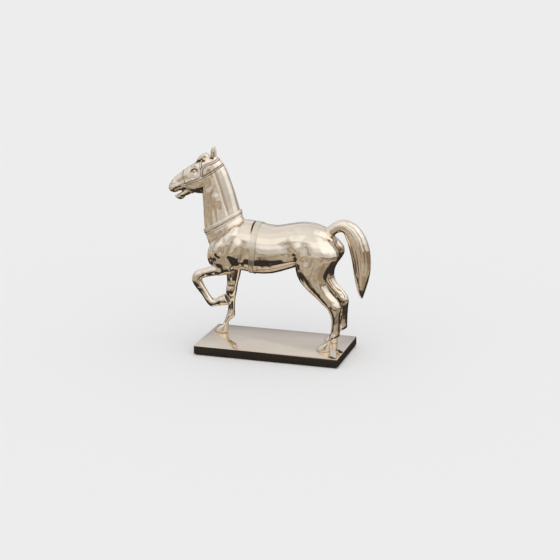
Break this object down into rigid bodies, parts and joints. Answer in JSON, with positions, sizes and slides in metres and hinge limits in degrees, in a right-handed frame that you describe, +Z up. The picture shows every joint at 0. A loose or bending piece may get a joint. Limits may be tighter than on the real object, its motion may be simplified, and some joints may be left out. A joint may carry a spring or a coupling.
{
  "type": "bronze horse statue",
  "caption": "Walking horse figurine in polished bronze with one foreleg raised, in bridle, collar and girth, screwed to a rectangular plate on felt.",
  "frame": {"origin": "middle of the felt's underside, on the surface that the statuette stands on", "axes": "+X towards the horse's head along the plate, +Y towards the horse's left side, +Z up"},
  "size_m": [0.2106, 0.077, 0.207],
  "materials": {
    "cast_bronze": "pale bronze, mirror polished",
    "harness_bronze": "pale bronze, polished, on applied straps and bosses",
    "plate_bronze": "pale bronze plate, flat mirror polish with a fine broken edge",
    "steel": "plain turned steel, hidden",
    "felt": "short dense wool felt, nearly black"
  },
  "bodies": {
    "root": {"base_plate": "plate_bronze", "bit": "harness_bronze", "chin_strap": "harness_bronze", "core_plug": "cast_bronze", "crownpiece": "harness_bronze", "felt_pad": "felt", "girth_strap": "harness_bronze", "left_bit_boss": "harness_bronze", "left_brow_strap": "harness_bronze", "left_cheek_strap": "harness_bronze", "left_foreleg": "cast_bronze", "left_foreleg_dowel": "steel", "left_hind_leg": "cast_bronze", "left_hind_leg_dowel": "steel", "left_hind_screw": "steel", "left_hind_washer": "steel", "left_rosette": "harness_bronze", "neck_and_head": "cast_bronze", "neck_collar": "harness_bronze", "neck_dowel": "steel", "noseband": "harness_bronze", "right_bit_boss": "harness_bronze", "right_brow_strap": "harness_bronze", "right_cheek_strap": "harness_bronze", "right_fore_screw": "steel", "right_fore_washer": "steel", "right_foreleg": "cast_bronze", "right_foreleg_dowel": "steel", "right_hind_leg": "cast_bronze", "right_hind_leg_dowel": "steel", "right_hind_screw": "steel", "right_hind_washer": "steel", "right_rosette": "harness_bronze", "tail": "cast_bronze", "tail_dowel": "steel", "throat_lash": "harness_bronze", "torso": "cast_bronze"}
  },
  "joints": []
}
